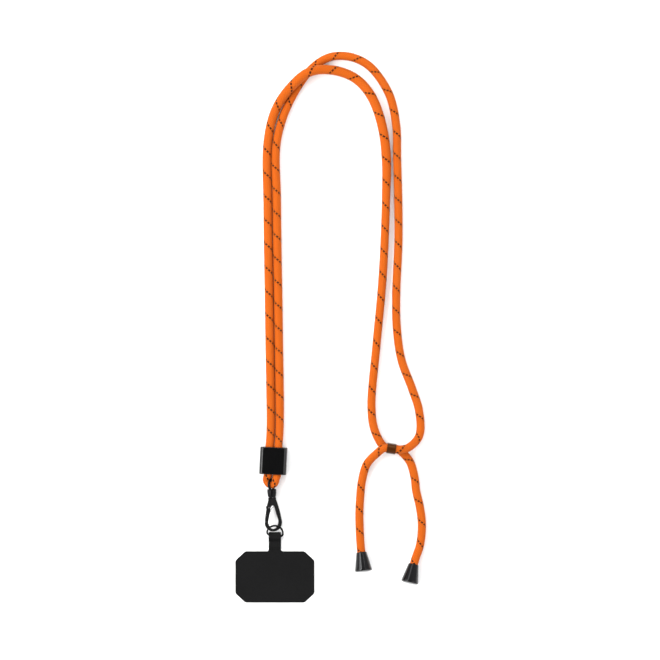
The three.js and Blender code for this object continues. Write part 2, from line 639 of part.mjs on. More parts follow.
const lanyard = new THREE.Group();
lanyard.add(ropeStretch('rope_tail_right', TAIL_RIGHT));
lanyard.add(ropeStretch('rope_run_inner', RUN_INNER));
lanyard.add(hookLoop());
lanyard.add(ropeStretch('rope_run_outer', RUN_OUTER));
lanyard.add(ropeStretch('rope_tail_left', TAIL_LEFT));
lanyard.add(sliderBand(), clamp(), swivel(), hook(), dRing(), phonePatch());
lanyard.add(bell('left'), bell('right'));

export default lanyard;
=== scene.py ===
"""Phone lanyard: a braided rope strap with a slider band, bell ends, a clamp, a swivel snap hook and a patch.

Metres in the row frame, +Z up. Piece shapes are drawn in millimetres in a frame of their own and then placed.
"""

import json
import math

import bmesh
import bpy
import numpy as np
from mathutils import Matrix, Vector


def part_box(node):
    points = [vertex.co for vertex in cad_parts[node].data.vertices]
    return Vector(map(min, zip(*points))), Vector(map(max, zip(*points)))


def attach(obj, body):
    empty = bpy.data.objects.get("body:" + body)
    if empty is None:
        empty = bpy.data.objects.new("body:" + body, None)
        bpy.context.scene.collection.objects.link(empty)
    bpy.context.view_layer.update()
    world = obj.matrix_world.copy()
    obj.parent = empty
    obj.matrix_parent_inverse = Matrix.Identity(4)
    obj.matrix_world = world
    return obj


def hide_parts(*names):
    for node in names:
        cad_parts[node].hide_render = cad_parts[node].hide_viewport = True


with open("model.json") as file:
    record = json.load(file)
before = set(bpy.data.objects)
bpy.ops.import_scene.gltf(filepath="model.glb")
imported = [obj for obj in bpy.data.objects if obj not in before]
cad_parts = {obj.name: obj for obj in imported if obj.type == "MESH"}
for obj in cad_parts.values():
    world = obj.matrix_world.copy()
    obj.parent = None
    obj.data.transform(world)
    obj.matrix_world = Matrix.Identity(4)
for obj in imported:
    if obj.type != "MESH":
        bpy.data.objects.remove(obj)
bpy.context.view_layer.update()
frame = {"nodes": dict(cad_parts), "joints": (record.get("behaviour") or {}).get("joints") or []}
scene = bpy.context.scene
joints = {joint["name"]: joint for joint in frame["joints"]}

MM = 0.001
PICTURE_WIDTH = 0.5016  # of the surface, across the camera's square frame
CAMERA_HEIGHT = 2.0
CAMERA_OVER = Vector((0.0419, 0.1876, 0))


# Where things are, from the frame

def unit(vector):
    return Vector(vector).normalized()


def joint_place(name):
    return Vector(joints[name]["pos_m"])


def joint_axis(name):
    return unit(joints[name]["axis"])


def centroid(node):
    vertices = frame["nodes"][node].data.vertices
    return sum((v.co for v in vertices), Vector()) / len(vertices)


def extent(node, axis):
    """The node's size along an axis."""
    along = [v.co.dot(axis) for v in frame["nodes"][node].data.vertices]
    return max(along) - min(along)


def place(origin, x, y, z):
    """The matrix that puts a piece drawn in millimetres at origin with those axes."""
    turn = Matrix((x, y, z)).transposed().to_4x4()
    return Matrix.Translation(origin) @ turn @ Matrix.Scale(MM, 4)


SWIVEL_UP = joint_axis("hook_swivel")
EYE_NORMAL = joint_axis("eye_swing")
EYE_ACROSS = SWIVEL_UP.cross(EYE_NORMAL).normalized()
CROWN = joint_place("eye_swing")
HOOK_NORMAL = joint_axis("gate_hinge")
HOOK_ACROSS = SWIVEL_UP.cross(HOOK_NORMAL).normalized()
HOOK_BEND = joint_place("ring_swing")
BAR = joint_place("patch_fold")
CLAMP_CENTRE = (centroid("clamp_rear_shell") + centroid("clamp_front_shell")) / 2
CLAMP_TURN = math.radians(-2.7)
CLAMP_ALONG = Vector((-math.sin(CLAMP_TURN), math.cos(CLAMP_TURN), 0))
CLAMP_SIDE = Vector((math.cos(CLAMP_TURN), math.sin(CLAMP_TURN), 0))


# Camera

def add_camera():
    data = bpy.data.cameras.new("camera")
    data.sensor_width = 36
    data.lens = data.sensor_width * CAMERA_HEIGHT / PICTURE_WIDTH
    data.clip_end = 2 * CAMERA_HEIGHT
    camera = bpy.data.objects.new("camera", data)
    camera.location = CAMERA_OVER + Vector((0, 0, CAMERA_HEIGHT))
    scene.collection.objects.link(camera)
    scene.camera = camera


add_camera()


# Rope

ROPE_R = 0.0032
ROPE_BEND_R = 0.0027  # where it is pulled tight round the swivel's eye
ROPE_LOOP_R = 0.00415  # of its centreline there
STRAND_PITCH = 0.0066
ROPE_CARRIERS = 10  # in each direction
SIDES_EACH = 3  # of the tube, for each yarn
ROPE_SIDES = SIDES_EACH * ROPE_CARRIERS
ROPE_STEP = 0.0002
RELIEF = 0.00022  # from a yarn's crown to where it goes under the next
TIGHT_ABOVE = 0.003  # above the swivel's crown, where the rope starts to be pulled thin
TIGHT_OVER = 0.006  # until it is at its thinnest
TIGHT_REACH = 0.03  # from the crown
TRACER_START = -4 / ROPE_SIDES  # turns
# Along the rope from the right bell: the length of one turn of a yarn, and how much thicker the rope is than
# ROPE_R, because it is slack at the top of the neck and in the long pair of strands.
LAY = [
    (0.0, 0.0162), (0.10, 0.0164), (0.14, 0.0175), (0.41, 0.0174), (0.44, 0.0180), (0.62, 0.0180),
    (0.66, 0.0174), (0.71, 0.0174), (0.73, 0.0168), (0.87, 0.0168), (0.90, 0.0174), (0.98, 0.0174),
    (1.20, 0.0168), (1.50, 0.0165),
]
THICKNESS = [
    (0.30, 1.0), (0.335, 1.14), (0.445, 1.14), (0.50, 1.06), (0.69, 1.06), (0.725, 1.0), (0.80, 1.0),
    (0.83, 1.06), (1.00, 1.06), (1.04, 1.0),
]
FLOOR_Z = 0.00335
CLAMP_Z = 0.00485
LOW_Z = 0.0041  # of the two strands in the slider band
HIGH_Z = 0.0107

TAIL_RIGHT = [
    (0.1038, 0.0035, 0.0052), (0.1066, 0.0137, 0.0036), (0.1103, 0.025, FLOOR_Z), (0.1116, 0.04, FLOOR_Z),
    (0.1101, 0.053, FLOOR_Z), (0.1072, 0.066, FLOOR_Z), (0.106, 0.076, FLOOR_Z), (0.1022, 0.0882, FLOOR_Z),
    (0.094, 0.0968, 0.004), (0.0909, 0.09751, LOW_Z),
]
RUN_INNER = [
    (0.0883, 0.0979, LOW_Z), (0.0857, 0.09829, LOW_Z), (0.0825, 0.0994, LOW_Z), (0.0758, 0.1115, FLOOR_Z),
    (0.07335, 0.129, FLOOR_Z), (0.07705, 0.175, FLOOR_Z), (0.0811, 0.218, FLOOR_Z),
    (0.08295, 0.247, FLOOR_Z), (0.08445, 0.29, FLOOR_Z), (0.0846, 0.318, 0.0035), (0.0813, 0.343, 0.00375),
    (0.0728, 0.3656, 0.00375), (0.0608, 0.3786, 0.0039), (0.043, 0.3846, 0.0064), (0.026, 0.3825, 0.0103),
    (0.012, 0.3711, 0.009), (0.0008, 0.3548, 0.0048), (-0.0052, 0.331, FLOOR_Z), (-0.0053, 0.28, FLOOR_Z),
    (-0.004, 0.19, FLOOR_Z), (-0.0031, 0.113, 0.0036), (-0.0039, 0.0989, CLAMP_Z),
]
RUN_OUTER = [
    (0.00268, 0.0987, CLAMP_Z), (0.0036, 0.113, 0.0036), (0.00285, 0.19, FLOOR_Z),
    (0.00145, 0.285, FLOOR_Z), (0.0016, 0.331, FLOOR_Z), (0.012, 0.3624, FLOOR_Z),
    (0.0282, 0.3861, FLOOR_Z), (0.0408, 0.3943, FLOOR_Z), (0.053, 0.3955, FLOOR_Z),
    (0.064, 0.3926, FLOOR_Z), (0.074, 0.3857, FLOOR_Z), (0.0868, 0.3663, FLOOR_Z), (0.0921, 0.343, FLOOR_Z),
    (0.0928, 0.318, FLOOR_Z), (0.0937, 0.285, FLOOR_Z), (0.0938, 0.255, FLOOR_Z), (0.0921, 0.212, FLOOR_Z),
    (0.0927, 0.188, FLOOR_Z), (0.0961, 0.165, FLOOR_Z), (0.1042, 0.143, FLOOR_Z), (0.1095, 0.126, FLOOR_Z),
    (0.1096, 0.1076, 0.0045), (0.101, 0.0985, 0.0089), (0.0941, 0.0972, HIGH_Z), (0.0909, 0.09751, HIGH_Z),
]
TAIL_LEFT = [
    (0.0883, 0.0979, HIGH_Z), (0.0857, 0.09829, HIGH_Z), (0.0825, 0.0982, HIGH_Z), (0.0776, 0.0945, 0.0086),
    (0.0699, 0.086, 0.0046), (0.0663, 0.074, FLOOR_Z), (0.0648, 0.061, FLOOR_Z), (0.0642, 0.046, FLOOR_Z),
    (0.06524, 0.0229, 0.0036), (0.06647, 0.0125, 0.0052),
]


def hook_loop():
    """The rope's route through the clamp, round the swivel's eye and back."""
    mouth = -extent("clamp_rear_shell", CLAMP_ALONG) / 2

    def in_clamp(side, along):
        return CLAMP_CENTRE + CLAMP_SIDE * (side * STRAND_PITCH / 2) + CLAMP_ALONG * along

    points = [in_clamp(-1, 0), in_clamp(-1, mouth / 2), in_clamp(-1, mouth)]
    for angle in np.linspace(0, math.pi, 9):
        across = EYE_ACROSS * (-ROPE_LOOP_R * math.cos(angle))
        points.append(CROWN + across - SWIVEL_UP * (ROPE_LOOP_R * math.sin(angle)))
    points += [in_clamp(1, mouth), in_clamp(1, mouth / 2), in_clamp(1, 0)]
    return points


def spline(points, step):
    """A centripetal Catmull-Rom curve through the points, as an array of points about a step apart."""
    p = np.array([tuple(point) for point in points], float)
    p = np.vstack([2 * p[0] - p[1], p, 2 * p[-1] - p[-2]])
    knots = np.sqrt(np.linalg.norm(np.diff(p, axis=0), axis=1))
    out = []
    for i in range(1, len(p) - 2):
        a, b, c = knots[i - 1:i + 2]
        before = (p[i] - p[i - 1]) / a - (p[i + 1] - p[i - 1]) / (a + b) + (p[i + 1] - p[i]) / b
        after = (p[i + 1] - p[i]) / b - (p[i + 2] - p[i]) / (b + c) + (p[i + 2] - p[i + 1]) / c
        count = max(2, int(np.linalg.norm(p[i + 1] - p[i]) / step))
        t = np.arange(count)[:, None] / count
        start = (1 + 2 * t) * (1 - t) ** 2 * p[i] + t * (1 - t) ** 2 * before * b
        out.append(start + t * t * (3 - 2 * t) * p[i + 1] + t * t * (t - 1) * after * b)
    return np.vstack(out + [p[-2:-1]])


def even(points, step):
    """The same curve with its points an even step apart."""
    along = np.concatenate([[0], np.cumsum(np.linalg.norm(np.diff(points, axis=0), axis=1))])
    wanted = np.linspace(0, along[-1], int(round(along[-1] / step)) + 1)
    return np.column_stack([np.interp(wanted, along, points[:, k]) for k in range(3)]), wanted


def carried_frames(points):
    """Two unit vectors across the curve at each point, carried along it without twist."""
    tangent = np.gradient(points, axis=0)
    tangent /= np.linalg.norm(tangent, axis=1)[:, None]
    side = np.zeros_like(points)
    side[0] = np.cross(tangent[0], (0, 0, 1))
    for i in range(len(points)):
        last = side[max(i - 1, 0)]
        free = last - tangent[i] * tangent[i].dot(last)
        side[i] = free / np.linalg.norm(free)
    return side, np.cross(tangent, side)


def tube_mesh(name, points, along, radius, sides):
    """A closed tube round the points. Its UV map holds the turn round it, 0 to 1, and the given place along.

    The radius is one number, or an array with a row for each point and a column for each side.
    """
    side, other = carried_frames(points)
    angle = 2 * math.pi * np.arange(sides) / sides
    width = np.broadcast_to(radius, (len(points), sides))
    ring = points[:, None] + width[..., None] * (
        np.cos(angle)[None, :, None] * side[:, None] + np.sin(angle)[None, :, None] * other[:, None])
    rows, count = len(points), len(points) * sides
    vertices = np.vstack([ring.reshape(-1, 3), points[[0, -1]]])
    row, column = np.meshgrid(np.arange(rows - 1), np.arange(sides), indexing="ij")
    after = (column + 1) % sides
    quads = np.stack([row * sides + column, row * sides + after, (row + 1) * sides + after,
                      (row + 1) * sides + column], axis=-1).reshape(-1, 4)
    around = np.arange(sides)
    following = (around + 1) % sides
    last = (rows - 1) * sides
    first_cap = np.column_stack([following, around, np.full(sides, count)])
    last_cap = np.column_stack([last + around, last + following, np.full(sides, count + 1)])
    data = bpy.data.meshes.new(name)
    data.from_pydata(vertices.tolist(), [], quads.tolist() + first_cap.tolist() + last_cap.tolist())
    u = np.stack([column, column + 1, column + 1, column], axis=-1).reshape(-1) / sides
    v = np.stack([along[row], along[row], along[row + 1], along[row + 1]], axis=-1).reshape(-1)
    caps = np.tile([[0.0, 0.0]], (6 * sides, 1))
    layer = data.uv_layers.new(name="round_and_along")
    layer.data.foreach_set("uv", np.vstack([np.column_stack([u, v]), caps]).ravel().astype(np.float32))
    data.polygons.foreach_set("use_smooth", np.ones(len(data.polygons), bool))
    data.update()
    return data


def link(name, data, material):
    piece = bpy.data.objects.new(name, data)
    scene.collection.objects.link(piece)
    data.materials.clear()
    data.materials.append(material)
    return piece


def eased(value):
    """0 below 0, 1 above 1, and smooth in between."""
    held = np.clip(value, 0, 1)
    return held * held * (3 - 2 * held)


def rope_radius(points, along):
    """Full where the rope is free, more where it is slack, less where it is pulled round the swivel's eye."""
    down = (np.array(CROWN) - points) @ np.array(SWIVEL_UP)
    near = np.linalg.norm(points - np.array(CROWN), axis=1) < TIGHT_REACH
    tight = eased((down + TIGHT_ABOVE) / TIGHT_OVER) * near
    return ROPE_R * np.interp(along, *zip(*THICKNESS)) + (ROPE_BEND_R - ROPE_R) * tight


def braid_turns(along):
    """The number of turns that a yarn has made round the rope by each length along it."""
    lay = np.interp(along, *zip(*LAY))
    return TRACER_START + np.concatenate([[0], np.cumsum(2 * np.diff(along) / (lay[1:] + lay[:-1]))])


def braid_height(turns):
    """The height of the skin at each point and side: 1 on a yarn's crown, 0 where it goes under another."""
    turn = np.arange(ROPE_SIDES)[None, :] / ROPE_SIDES
    right = ROPE_CARRIERS * (turn + turns[:, None])
    left = ROPE_CARRIERS * (turn - turns[:, None])
    right_over = (np.floor(right + 1e-6) + np.floor(left + 1e-6)) % 2 < 0.5
    across = np.where(right_over, right, left) % 1 * 2 - 1
    length = np.where(right_over, left, right) % 1 * 2 - 1
    return (1 - across ** 2) * np.sqrt(np.maximum(1 - length ** 2, 0))


# Materials

def material(name, **sockets):
    made = bpy.data.materials.new(name)
    made.use_nodes = True
    shader = made.node_tree.nodes["Principled BSDF"]
    for socket, value in sockets.items():
        shader.inputs[socket.replace("_", " ")].default_value = value
    return made, made.node_tree, shader


def node(tree, kind, inputs=(), **settings):
    """A new node with its settings, and its inputs given as values or as sockets to link."""
    made = tree.nodes.new("ShaderNode" + kind)
    for name, value in settings.items():
        setattr(made, name, value)
    for key, value in dict(inputs).items():
        if isinstance(value, bpy.types.NodeSocket):
            tree.links.new(value, made.inputs[key])
        else:
            made.inputs[key].default_value = value
    return made


def maths(tree, operation, *values):
    return node(tree, "Math", dict(enumerate(values)), operation=operation).outputs[0]


def mixed(tree, factor, first, second):
    made = node(tree, "Mix", data_type="RGBA")
    for key, value in ((0, factor), (6, first), (7, second)):
        if isinstance(value, bpy.types.NodeSocket):
            tree.links.new(value, made.inputs[key])
        else:
            made.inputs[key].default_value = value
    return made.outputs[2]


def noise(tree, scale, detail=3.0):
    where = node(tree, "TexCoord").outputs["Object"]
    return node(tree, "TexNoise", {"Vector": where, "Scale": scale, "Detail": detail}).outputs["Fac"]


def ranged(tree, value, low, high, to_low, to_high):
    return node(tree, "MapRange", {"Value": value, "From Min": low, "From Max": high,
                                   "To Min": to_low, "To Max": to_high}).outputs["Result"]


def bumped(tree, shader, height, distance, strength):
    made = node(tree, "Bump", {"Height": height, "Distance": distance, "Strength": strength})
    tree.links.new(made.outputs["Normal"], shader.inputs["Normal"])


ORANGE = (0.49, 0.095, 0.0032, 1)
# The darker orange: painted shade in the braid's grooves, and the knot's own darker fibres.
ORANGE_SHADE_AND_DARK_FIBRE = (0.31, 0.042, 0.0013, 1)
TRACER = (0.012, 0.004, 0.001, 1)
TRACER_DASH = 0.68  # half the length of a black stitch, in yarns crossed
YARN_FIBRES = 4.0  # streaks across one yarn


def rope_material():
    """A 1/1 braid of ten yarns each way, one of them black, from the rope's own UV map, with painted shade in
    its grooves.
    """
    made, tree, shader = material("rope_braid", Roughness=0.75, Specular_IOR_Level=0.12,
                                  Sheen_Roughness=0.5, Sheen_Tint=(1.0, 0.6, 0.25, 1))
    uv = node(tree, "UVMap", uv_map="round_and_along").outputs["UV"]
    parts = node(tree, "SeparateXYZ", {0: uv}).outputs
    turned = maths(tree, "MULTIPLY", parts[0], float(ROPE_CARRIERS))
    run = maths(tree, "MULTIPLY", parts[1], float(ROPE_CARRIERS))
    right = maths(tree, "ADD", turned, run)
    left = maths(tree, "SUBTRACT", turned, run)
    right_yarn = maths(tree, "FLOOR", right)
    left_yarn = maths(tree, "FLOOR", left)
    crossing = maths(tree, "FLOORED_MODULO", maths(tree, "ADD", right_yarn, left_yarn), 2.0)
    right_over = maths(tree, "LESS_THAN", crossing, 0.5)

    def chosen(when_left, when_right):
        return node(tree, "Mix", {0: right_over, 2: when_left, 3: when_right}, data_type="FLOAT").outputs[0]

    def crowned(across):
        centred = maths(tree, "SUBTRACT", maths(tree, "MULTIPLY", across, 2.0), 1.0)
        return maths(tree, "SUBTRACT", 1.0, maths(tree, "MULTIPLY", centred, centred))

    across = maths(tree, "FRACT", chosen(left, right))
    length = chosen(right, left)
    crown = maths(tree, "MULTIPLY", crowned(across),
                  maths(tree, "SQRT", crowned(maths(tree, "FRACT", length))))
    fibre_at = node(tree, "CombineXYZ", {0: maths(tree, "MULTIPLY", chosen(left, right), YARN_FIBRES),
                                         1: maths(tree, "MULTIPLY", length, 0.8), 2: chosen(0.0, 50.0)})
    streaks = node(tree, "TexNoise", {"Vector": fibre_at.outputs[0], "Scale": 1.0, "Detail": 3.0})
    fibre = streaks.outputs["Fac"]
    black_yarn = maths(tree, "FLOORED_MODULO", right_yarn, float(ROPE_CARRIERS))
    stitch = maths(tree, "SUBTRACT", left, maths(tree, "FLOORED_MODULO", right_yarn, 2.0))
    over_two = maths(tree, "FLOORED_MODULO", maths(tree, "ADD", stitch, 0.5), 2.0)
    past = maths(tree, "ABSOLUTE", maths(tree, "SUBTRACT", over_two, 1.0))
    black = maths(tree, "MULTIPLY", maths(tree, "LESS_THAN", black_yarn, 0.5),
                  maths(tree, "LESS_THAN", past, TRACER_DASH))
    patchy = noise(tree, 60.0)
    # Painted shade: the orange darkens where each yarn dips under the next; the fibre streaks and patches are
    # the yarn's own tone.
    groove_shade_and_fibre = maths(tree, "MULTIPLY", ranged(tree, crown, 0.0, 0.6, 0.3, 1.0),
                ranged(tree, fibre, 0.3, 0.65, 0.72, 1.0))
    tone = maths(tree, "MULTIPLY", groove_shade_and_fibre, ranged(tree, patchy, 0.3, 0.7, 0.9, 1.0))
    orange = mixed(tree, tone, ORANGE_SHADE_AND_DARK_FIBRE, ORANGE)
    tree.links.new(mixed(tree, black, orange, TRACER), shader.inputs["Base Color"])
    tree.links.new(ranged(tree, black, 0.0, 1.0, 0.14, 0.0), shader.inputs["Sheen Weight"])
    height = maths(tree, "ADD", crown, maths(tree, "MULTIPLY", fibre, 0.35))
    bumped(tree, shader, height, 0.00015, 0.7)
    return made


def add_rope():
    route = TAIL_RIGHT + RUN_INNER + hook_loop() + RUN_OUTER + TAIL_LEFT
    fine, run = even(spline(route, ROPE_STEP / 2), ROPE_STEP)
    run_turns = braid_turns(run)
    turns = np.arange(run_turns[0], run_turns[-1], 1 / ROPE_SIDES)
    along = np.interp(turns, run_turns, run)
    points = np.column_stack([np.interp(along, run, fine[:, k]) for k in range(3)])
    radius = rope_radius(points, along)
    points[:, 2] = np.maximum(points[:, 2], radius)
    skin = radius[:, None] - RELIEF * (1 - braid_height(turns))
    data = tube_mesh("rope", points, turns, skin, ROPE_SIDES)
    rope = link("rope", data, rope_material())
    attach(rope, "rigging")
    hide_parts("rope_tail_right", "rope_run_inner", "rope_hook_loop", "rope_run_outer",
                "rope_tail_left")


add_rope()


# Shapes, drawn in millimetres

def bend_round(corners, radii, steps=6, inset=0.0):
    """A closed outline, anticlockwise, with rounded corners, drawn that far inside itself."""
    outline = []
    for i, radius in enumerate(radii):
        last, here, following = (Vector(corners[(i + k) % len(corners)]) for k in (-1, 0, 1))
        before = (here - last).normalized()
        after = (following - here).normalized()
        inward = Vector((-before.y - after.y, before.x + after.x))
        here = here + inward * (inset / (1 + before.dot(after)))
        turn = math.atan2(before.cross(after), before.dot(after))
        side = math.copysign(1, turn)
        radius = max(radius - side * inset, 0.01)
        start = here - before * (radius * math.tan(abs(turn) / 2))
        centre = start + Vector((-before.y, before.x)) * (side * radius)
        for k in range(steps + 1):
            outline.append(centre + Matrix.Rotation(turn * k / steps, 2) @ (start - centre))
    return outline


def arc(centre, radius, start, end, steps):
    """Points of an arc, in degrees. The radius may be one number or two."""
    wide, high = radius if isinstance(radius, tuple) else (radius, radius)
    angles = np.radians(np.linspace(start, end, steps + 1))
    return [Vector((centre[0] + wide * math.cos(a), centre[1] + high * math.sin(a))) for a in angles]


def bezier(start, control, end, steps):
    """Points of a quadratic curve."""
    first, middle, last = Vector(start), Vector(control), Vector(end)
    t = np.linspace(0, 1, steps + 1)
    return [first * (1 - s) ** 2 + middle * (2 * s * (1 - s)) + last * s * s for s in t]


def slab(outlines, thickness, edge, edge_steps=3):
    """A flat plate centred on z = 0 with rounded edges. Outlines inside the first are holes."""
    curve = bpy.data.curves.new("slab", "CURVE")
    curve.dimensions = "2D"
    curve.fill_mode = "BOTH"
    curve.extrude = thickness / 2 - edge
    curve.bevel_depth = edge
    curve.offset = -edge
    curve.bevel_resolution = edge_steps
    for outline in outlines:
        spline_of = curve.splines.new("POLY")
        spline_of.points.add(len(outline) - 1)
        spline_of.points.foreach_set("co", [c for p in outline for c in (p[0], p[1], 0, 1)])
        spline_of.use_cyclic_u = True
    drawn = bpy.data.objects.new("slab", curve)
    scene.collection.objects.link(drawn)
    data = bpy.data.meshes.new_from_object(drawn.evaluated_get(bpy.context.evaluated_depsgraph_get()))
    bpy.data.objects.remove(drawn)
    shape = bmesh.new()
    shape.from_mesh(data)
    bmesh.ops.remove_doubles(shape, verts=shape.verts, dist=1e-4)
    bmesh.ops.recalc_face_normals(shape, faces=shape.faces)
    return shape


def lathe(profile, steps=96):
    """A solid of revolution about +Y, from a closed profile of radii and heights."""
    shape = bmesh.new()
    rings = []
    for k in range(steps):
        angle = 2 * math.pi * k / steps
        across, up = math.cos(angle), math.sin(angle)
        rings.append([shape.verts.new((r * across, y, r * up)) for r, y in profile])
    for k in range(steps):
        this, following = rings[k], rings[(k + 1) % steps]
        for i in range(len(profile)):
            j = (i + 1) % len(profile)
            shape.faces.new((this[i], this[j], following[j], following[i]))
    bmesh.ops.remove_doubles(shape, verts=shape.verts, dist=1e-5)
    loose = [edge for edge in shape.edges if not edge.link_faces]
    bmesh.ops.delete(shape, geom=loose, context="EDGES")
    bmesh.ops.recalc_face_normals(shape, faces=shape.faces)
    return shape


def ring(radius, wire, steps=96, sides=24):
    """A wire ring about +X."""
    shape = lathe(arc((radius, 0), wire, 0, 360 - 360 / sides, sides - 1), steps)
    shape.transform(Matrix.Rotation(math.pi / 2, 4, "Z"))
    return shape


def post(radius, length, x=0.0, y=0.0, z=0.0, steps=48):
    """A cylinder along +Z."""
    shape = bmesh.new()
    bmesh.ops.create_cone(shape, cap_ends=True, segments=steps, radius1=radius, radius2=radius, depth=length,
                          matrix=Matrix.Translation((x, y, z)))
    return shape


def turned(shape, angle, axis):
    shape.transform(Matrix.Rotation(math.radians(angle), 4, axis))
    return shape


def moved(shape, x, y, z):
    shape.transform(Matrix.Translation((x, y, z)))
    return shape


def combined(shape, operation, *others):
    """The shape joined with, cut by or kept inside the others, which are used up."""
    for other in others:
        pair = []
        for part in (shape, other):
            data = bpy.data.meshes.new("part")
            part.to_mesh(data)
            part.free()
            pair.append(bpy.data.objects.new("part", data))
            scene.collection.objects.link(pair[-1])
        cut = pair[0].modifiers.new("cut", "BOOLEAN")
        cut.operation = operation
        cut.object = pair[1]
        cut.solver = "EXACT"
        bpy.context.view_layer.update()
        made = pair[0].evaluated_get(bpy.context.evaluated_depsgraph_get())
        shape = bmesh.new()
        shape.from_mesh(made.to_mesh())
        for part in pair:
            bpy.data.objects.remove(part)
    return shape


def piece(name, shape, matrix, finish, body, slot, *nodes, smooth=35):
    """Places a shape as a piece that rides on the body, in the given finish, and stands for CAD nodes. The
    slot is not used.
    """
    shape.transform(matrix)
    bmesh.ops.recalc_face_normals(shape, faces=shape.faces)
    data = bpy.data.meshes.new(name)
    shape.to_mesh(data)
    shape.free()
    data.polygons.foreach_set("use_smooth", np.ones(len(data.polygons), bool))
    data.set_sharp_from_angle(angle=math.radians(smooth))
    made = link(name, data, finish)
    weighted = made.modifiers.new("normals", "WEIGHTED_NORMAL")
    weighted.keep_sharp = True
    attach(made, body)
    if nodes:
        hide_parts(*nodes)
    return made


# Finishes of the hard pieces

def moulded(name, colour, roughness, unevenness, shine=(1, 1, 1, 1)):
    """Gloss plastic: a little uneven in its gloss, with the faint waves of a moulding."""
    made, tree, shader = material(name, Specular_IOR_Level=0.34, Specular_Tint=shine)
    broad = noise(tree, 180.0, 4.0)
    fine = noise(tree, 2500.0, 2.0)
    dark = tuple(0.8 * c for c in colour[:3]) + (1,)
    tree.links.new(mixed(tree, broad, dark, colour), shader.inputs["Base Color"])
    both = maths(tree, "ADD", broad, fine)
    rough = ranged(tree, both, 0.6, 1.4, roughness - unevenness, roughness + unevenness)
    tree.links.new(rough, shader.inputs["Roughness"])
    bumped(tree, shader, maths(tree, "ADD", broad, maths(tree, "MULTIPLY", fine, 0.1)), 0.00002, 0.25)
    return made


def plated(name, colour, roughness):
    """Die-cast metal with a dark plating of fine grain."""
    made, tree, shader = material(name, Metallic=0.75, Specular_IOR_Level=0.25)
    broad = noise(tree, 300.0, 4.0)
    grain = noise(tree, 4500.0, 3.0)
    dark = tuple(0.7 * c for c in colour[:3]) + (1,)
    tree.links.new(mixed(tree, broad, dark, colour), shader.inputs["Base Color"])
    rough = ranged(tree, maths(tree, "ADD", broad, grain), 0.6, 1.4, roughness - 0.07, roughness + 0.07)
    tree.links.new(rough, shader.inputs["Roughness"])
    bumped(tree, shader, grain, 0.00003, 0.3)
    return made


def turned_steel():
    """Blackened steel with fine turning marks."""
    made, tree, shader = material("turned_steel", Metallic=1.0)
    marks = noise(tree, 5000.0, 2.0)
    steel = mixed(tree, marks, (0.10, 0.10, 0.103, 1), (0.17, 0.17, 0.173, 1))
    tree.links.new(steel, shader.inputs["Base Color"])
    tree.links.new(ranged(tree, marks, 0.3, 0.7, 0.28, 0.40), shader.inputs["Roughness"])
    bumped(tree, shader, marks, 0.00001, 0.4)
    return made


def patch_sheet():
    """Charcoal plastic sheet with a fine matt grain."""
    made, tree, shader = material("patch_sheet", Specular_IOR_Level=0.13)
    grain = node(tree, "TexVoronoi", {"Vector": node(tree, "TexCoord").outputs["Object"], "Scale": 2200.0},
                 feature="SMOOTH_F1").outputs["Distance"]
    broad = noise(tree, 25.0)
    cloud = noise(tree, 400.0, 4.0)
    tone = maths(tree, "ADD", maths(tree, "MULTIPLY", broad, 0.6), maths(tree, "MULTIPLY", cloud, 0.4))
    tree.links.new(mixed(tree, ranged(tree, tone, 0.3, 0.7, 0.0, 1.0), (0.0018, 0.0018, 0.0019, 1),
                         (0.0034, 0.0034, 0.0036, 1)), shader.inputs["Base Color"])
    tree.links.new(ranged(tree, grain, 0.0, 0.8, 0.62, 0.85), shader.inputs["Roughness"])
    bumped(tree, shader, grain, 0.00005, 0.5)
    return made


BELL_BLACK = moulded("bell_gloss", (0.002, 0.002, 0.0022, 1), 0.09, 0.03, (0.8, 0.8, 0.82, 1))
CLAMP_BLACK = moulded("clamp_gloss", (0.002, 0.002, 0.0021, 1), 0.16, 0.04)
# The band's brown specular tint is a painted reflection of the orange rope.
BAND_BROWN = moulded("band_gloss", (0.045, 0.012, 0.002, 1), 0.24, 0.04, (0.85, 0.45, 0.22, 1))
GUN_BLACK = plated("gun_black", (0.006, 0.006, 0.0064, 1), 0.33)
STEEL = turned_steel()
PATCH = patch_sheet()


# Clamp: two shells on the pair of strands

CLAMP_WIDTH = 20.6
CLAMP_LENGTH = 20.7
CLAMP_HEIGHT = 9.4
CLAMP_FILLET = 2.8
CLAMP_EDGE = 0.5
CLAMP_GROOVE_R = 3.75
CLAMP_PARTING = 0.15  # from the middle to each shell
PITCH_MM = 1000 * STRAND_PITCH


def clamp_section():
    """The upper shell's section: across, then up."""
    half = CLAMP_WIDTH / 2
    top = CLAMP_HEIGHT / 2 - CLAMP_FILLET
    strand = PITCH_MM / 2
    low = math.degrees(math.asin(CLAMP_PARTING / CLAMP_GROOVE_R))
    middle = 180 - math.degrees(math.acos(strand / CLAMP_GROOVE_R))
    points = [Vector((half, CLAMP_PARTING))]
    points += arc((half - CLAMP_FILLET, top), CLAMP_FILLET, 0, 90, 16)
    points += arc((CLAMP_FILLET - half, top), CLAMP_FILLET, 90, 180, 16)
    points.append(Vector((-half, CLAMP_PARTING)))
    points += arc((-strand, 0), CLAMP_GROOVE_R, 180 - low, 180 - middle, 24)
    points += arc((strand, 0), CLAMP_GROOVE_R, middle, low, 24)[1:]
    return points


def add_clamp():
    at = place(CLAMP_CENTRE, CLAMP_SIDE, CLAMP_ALONG, Vector((0, 0, 1)))
    for name, turn in (("clamp_front", 0), ("clamp_rear", 180)):
        shell = turned(slab([clamp_section()], CLAMP_LENGTH, CLAMP_EDGE), 90, "X")
        piece(name, turned(shell, turn, "Y"), at, CLAMP_BLACK, "rigging", "clamp", name + "_shell")


add_clamp()


# Slider band: a flat sleeve on two strands, one above the other

